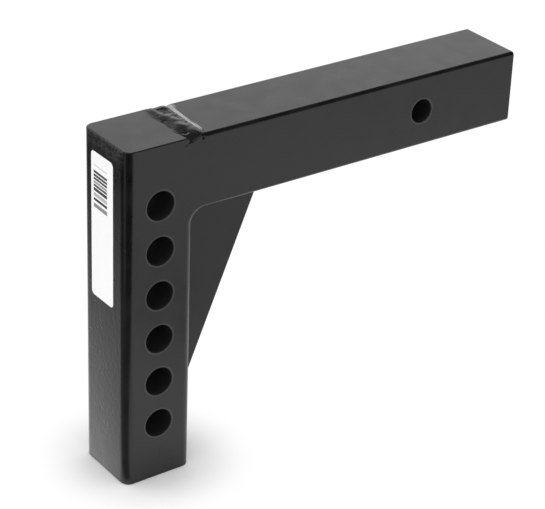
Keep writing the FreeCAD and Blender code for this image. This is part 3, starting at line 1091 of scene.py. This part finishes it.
def bevel_top_x(y):
    """Where the receiver bar's bevel starts on its top."""
    return between(BEVEL_NEAR_X, BEVEL_FAR_X, (y + HALF_WIDTH) / (2 * HALF_WIDTH))


def weld_section(y):
    """The points, X and height, of the top weld's surface at y, from its toe to its foot."""
    toe = min(curve_through(TOE, y), LAP_X - 0.1)
    slope = curve_through(LEFT_SLOPE, y)
    lap = min(HIGHEST_LAP, slope * (LAP_X - toe))
    rib_foot = curve_through(LEFT_LEVEL, y)
    rib = rib_foot + RIB_STEP
    lap_foot = rib - slope * (RIB_X - LAP_X)
    crest_x = curve_through(CREST, y)
    turn = min(curve_through(ROUND_OVER, y), crest_x - RIB_X - 0.3)
    crest = rib_foot + slope * (crest_x - RIB_X - turn / 2)
    rounded = [
        (crest_x - part * turn, crest - slope * part * part * turn / 2)
        for part in (1.0, 0.66, 0.33, 0.0)
    ]
    flank = (curve_through(FLANK, y, 1), crest - curve_through(FLANK, y, 2))
    second_x = curve_through(SECOND_CREST, y, 1)
    rise = curve_through(SECOND_CREST, y, 2) * (second_x - flank[0])
    gap = min(flank[1], curve_through(GAP_LEVEL, y), 0.25 - rise)
    second = (second_x, gap + rise)
    shown = curve_through(BEVEL_SHOWN, y)
    edge = second[1] - line_up(ROLL_OFF, y)
    edge_x = bevel_top_x(y) - shown - SIGHT_SLOPE * (shown + edge)
    foot = shown + FOOT_DEPTH
    return [
        (toe, -TOE_DEPTH),
        (LAP_X, lap),
        (LAP_X + 0.05, lap_foot),
        (RIB_X, rib),
        (RIB_X + 0.08, rib_foot),
        *rounded,
        flank,
        (flank[0] + 0.08, min(flank[1], gap)),
        second,
        (max(edge_x, second[0] + 0.4), edge),
        (bevel_top_x(y) - foot, -foot),
    ]


def point_across(points, across):
    """The point at a share of the mesh's columns."""
    column = across * sum(COLUMNS)
    for (start, end), count in zip(zip(points, points[1:]), COLUMNS):
        if column <= count + 0.001:
            share = column / count
            return between(start[0], end[0], share), between(start[1], end[1], share)
        column -= count
    return points[-1]


def distance_to_line(point, start, end):
    """How far a point is from the line between two others."""
    run = end - start
    share = limit((point - start).dot(run) / run.length_squared)
    return (point - (start + run * share)).length


def end_drop(x, y):
    """How the top weld falls away at both ends."""
    far_share = max(0.0, y - FAR_DROP_START) / (HALF_WIDTH - FAR_DROP_START)
    near_share = max(0.0, -y - NEAR_DROP_START) / (HALF_WIDTH - NEAR_DROP_START)
    drop = line_up(FAR_DROP, x) * far_share ** 2 + line_up(NEAR_DROP, x) * near_share ** 2.6
    radius = between(NEAR_END_RADIUS, RECEIVER_EDGE_RADIUS, share_of_way(x, *NEAR_END_GROWS_X))
    rounding = edge_drop(radius, max(0.0, -y - (HALF_WIDTH - radius)))
    return drop + rounding * share_of_way(x, LAP_X, LAP_X + 1.5)


def weld_surface(across, y):
    """X and height of the top weld's surface."""
    x, height = point_across(weld_section(y), across)
    inside = limit(min(x - LAP_X, (1.0 - across) * 10.0))
    height += inside * sum(rise * lumps(x, y, layer, size) for rise, size, layer in FINE_LUMPS)
    for spot_x, spot_y, radius, rise in SPOTS:
        height += rise * math.exp(-((math.hypot(x - spot_x, y - spot_y) / radius) ** 3))
    height = min(height, HIGHEST_WELD) - end_drop(x, y)
    if x > LAP_X:
        pit_x, pit_y, pit_radius, pit_floor = PIT
        rim_reach, rim_width, rim_rise = PIT_RIM
        from_pit = Vector((x - pit_x, y - pit_y))
        rim_share = max(0.0, from_pit.dot(Vector(PIT_RIM_SIDE))) / max(0.1, from_pit.length)
        rim = math.exp(-(((from_pit.length - rim_reach) / rim_width) ** 2))
        height += rim_rise * rim_share * rim
        in_pit = math.exp(-((from_pit.length / pit_radius) ** 4))
        height = between(height, min(height, pit_floor), in_pit)
    return x, height


def top_weld_shape(across, along, up):
    """The top weld, from its root in the groove up to its surface."""
    y = WELD_HALF_LENGTH * math.sin(math.pi * (along - 0.5))
    x, height = weld_surface(across, y)
    if up > 0.9999:
        return x, y, TOP_Z + height
    bevel_x = bevel_top_x(y)
    side = max(0.0, abs(y) - UPRIGHT_FLAT_HALF)
    groove_depth = (bevel_x - WELD_LEFT_X) / 2
    root_depth = between(groove_depth, SIDE_ROOT_DEPTH, side / UPRIGHT_EDGE_RADIUS)
    share = limit((x - LAP_X) / (bevel_x - 1.0 - LAP_X))
    surface = -height if share > 0.0 else 0.15 + end_drop(x, y)
    depth = between(root_depth, surface, 1 - (1 - up) ** 1.8)
    left = min(WELD_LEFT_X + depth, UPRIGHT_BACK_X - side - 0.05) - 0.12
    right = max(bevel_x - depth, UPRIGHT_BACK_X + side + 0.05) + 0.1
    x = between(left, right, share)
    z = TOP_Z - depth
    if along < 0.0001:
        for start, end, half_width, deep in NICKS:
            away = distance_to_line(Vector((x, z)), Vector(start), Vector(end))
            y += deep * math.exp(-((away / half_width) ** 2))
    return x, y, z


# The hollow weld in the inner corner: its radius, what that grows by at the bars' sides, and where
# its root is
CORNER_RADIUS = 8.0
CORNER_FLARE = 4.0
CORNER_ROOT_X = (-187.1, -174.9)
CORNER_ROOT_Z = -19.05
# The height and pitch of its ripples, how far their middles lag, and where they end and set in
CORNER_RIPPLE = 0.15
CORNER_RIPPLE_PITCH = 2.2
CORNER_RIPPLE_LAG = 1.5
CORNER_RIPPLE_ENDS = (22.0, 19.0)
CORNER_CUTS = (20, 110, 4)


def corner_weld_shape(across, along, up):
    """The inner corner's weld, from its root to its hollow surface, rippled in the middle."""
    y = WELD_HALF_LENGTH * math.sin(math.pi * (along - 0.5))
    side = max(0.0, abs(y) - UPRIGHT_FLAT_HALF)
    edge = max(0.0, abs(y) - RECEIVER_FLAT_HALF)
    back_x = UPRIGHT_BACK_X - edge_drop(UPRIGHT_EDGE_RADIUS, side)
    under_z = UNDER_Z + edge_drop(RECEIVER_EDGE_RADIUS, edge)
    radius = CORNER_RADIUS + CORNER_FLARE * side / UPRIGHT_EDGE_RADIUS
    turn = across * math.pi / 2
    bulge = math.sin(2 * turn)
    phase = (y + CORNER_RIPPLE_LAG * bulge) / CORNER_RIPPLE_PITCH
    ripple = CORNER_RIPPLE * math.sin(2 * math.pi * phase)
    lump = 0.15 * lumps(across * 12.0, y, 4.0, 2.4)
    reach = radius + share_of_way(abs(y), *CORNER_RIPPLE_ENDS) * bulge * (ripple + lump)
    x = back_x + radius - reach * math.cos(turn)
    z = under_z - radius + reach * math.sin(turn)
    root_x = between(*CORNER_ROOT_X, across)
    return between(root_x, x, up), y, between(CORNER_ROOT_Z, z, up)


# The four fillet beads: their legs, the length over which they taper at their ends, how far they
# swell in the middle, and the height and pitch of their ripples and how far the middles lag
BEAD_LEG = 6.2
BEAD_TAPER = 3.5
BEAD_SWELL = 0.9
BEAD_RIPPLE = 0.10
BEAD_RIPPLE_PITCH = 3.0
BEAD_RIPPLE_LAG = 2.2
# Both ends of those under the receiver bar, in X, and of those up the upright, in Z
BAR_BEAD_ENDS = (-168.275, -118.808)
BAR_BEAD_CUTS = (12, 120, 2)
UPRIGHT_BEAD_ENDS = (-170.12, -38.10)
UPRIGHT_BEAD_CUTS = (12, 300, 2)


def make_bead_shape(ends, corner, turned):
    """A fillet bead between its ends, in the corner of the plate at Y of corner and a bar."""
    start, end = ends

    def shape(across, along, up):
        reach = start + (end - start) * along
        from_end = min(reach - start, end - reach)
        taper = math.sqrt(max(0.02, 1.0 - (1.0 - min(1.0, from_end / BEAD_TAPER)) ** 2))
        bulge = math.sin(math.pi * across)
        phase = (reach + BEAD_RIPPLE_LAG * bulge) / BEAD_RIPPLE_PITCH
        ripple = BEAD_RIPPLE * math.sin(2 * math.pi * phase)
        leg = BEAD_LEG * taper * (1.0 + 0.02 * lumps(reach, corner, 2.0, 5.0))
        lump = 0.12 * lumps(reach, across * 6.0, corner, 1.8)
        swell = (BEAD_SWELL + ripple + lump) * bulge * taper
        on_bar = between(leg, -0.1, across) + 0.7 * swell
        on_plate = between(-0.1, leg, across) + 0.7 * swell
        out = between(between(0.5, -0.3, across), on_bar, up)
        down = between(between(-0.3, 0.5, across), on_plate, up)
        y = corner + math.copysign(out, corner)
        if turned:
            return UPRIGHT_BACK_X + down, y, reach
        return reach, y, UNDER_Z - down

    return shape


def make_welds(weld_coat):
    """Lays the rough welds, each in place of its node."""
    lay_weld("top_weld", "top_groove_weld", TOP_CUTS, top_weld_shape, weld_coat)
    lay_weld("corner_weld", "inner_corner_weld", CORNER_CUTS, corner_weld_shape, weld_coat)
    for side, corner in (("near", -GUSSET_HALF_THICKNESS), ("far", GUSSET_HALF_THICKNESS)):
        node = "gusset_bar_weld_" + side
        bead = make_bead_shape(BAR_BEAD_ENDS, corner, turned=False)
        lay_weld("bar_bead_" + side, node, BAR_BEAD_CUTS, bead, weld_coat)
        node = "gusset_upright_weld_" + side
        bead = make_bead_shape(UPRIGHT_BEAD_ENDS, corner, turned=True)
        lay_weld("upright_bead_" + side, node, UPRIGHT_BEAD_CUTS, bead, weld_coat)


def coat_node(name, material):
    """Gives a node of the CAD model its coat."""
    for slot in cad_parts[name].material_slots:
        slot.material = material


make_camera()
make_studio()
powder_skin = make_powder_skin()
hole_places = make_hole_places()
bar_coat = make_bar_coat(powder_skin, hole_places)
plate_coat = make_plate_coat(powder_skin)
label_paper = make_label_paper()

COATS = {
    "upright_bar": bar_coat,
    "receiver_bar": bar_coat,
    "gusset_plate": plate_coat,
    "near_groove_weld": bar_coat,
    "far_groove_weld": bar_coat,
    "label": label_paper,
}
for node_name, coat in COATS.items():
    coat_node(node_name, coat)
make_welds(make_weld_coat(powder_skin))
